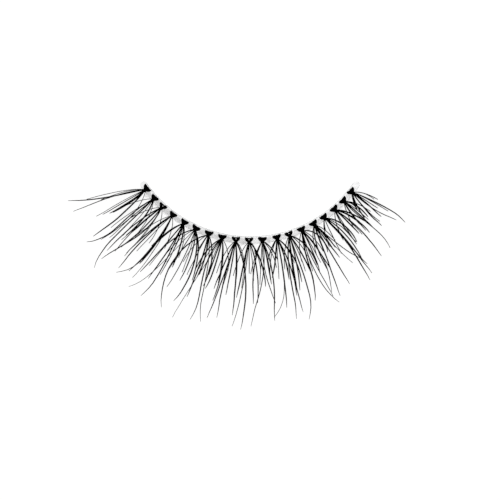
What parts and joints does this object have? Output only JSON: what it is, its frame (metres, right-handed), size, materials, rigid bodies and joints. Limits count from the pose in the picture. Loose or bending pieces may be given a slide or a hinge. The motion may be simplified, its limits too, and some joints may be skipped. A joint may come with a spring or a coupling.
{
  "type": "false eyelash strip",
  "caption": "Wispy false eyelash strip: black lash clusters knotted along a clear curved band, flaring out and curling up.",
  "frame": {"origin": "middle of the band's arc, on its flat glue face", "axes": "+X along the strip towards the end that is right when the hollow side is up, +Y to the band's hollow side, +Z out of the face that the knots sit on, the way the lashes curl"},
  "size_m": [0.0453, 0.0202, 0.0057],
  "materials": {
    "clear_band": "clear, glossy, faintly milky",
    "lash_fibre": "black satin filament, paler at the tips"
  },
  "bodies": {
    "root": {"band": "clear_band", "lash_cluster_01": "lash_fibre", "lash_cluster_02": "lash_fibre", "lash_cluster_03": "lash_fibre", "lash_cluster_04": "lash_fibre", "lash_cluster_05": "lash_fibre", "lash_cluster_06": "lash_fibre", "lash_cluster_07": "lash_fibre", "lash_cluster_08": "lash_fibre", "lash_cluster_09": "lash_fibre", "lash_cluster_10": "lash_fibre", "lash_cluster_11": "lash_fibre", "lash_cluster_12": "lash_fibre", "lash_cluster_13": "lash_fibre", "lash_cluster_14": "lash_fibre", "lash_cluster_15": "lash_fibre", "lash_cluster_16": "lash_fibre", "lash_cluster_17": "lash_fibre", "lash_cluster_18": "lash_fibre", "lash_cluster_19": "lash_fibre"}
  },
  "joints": []
}
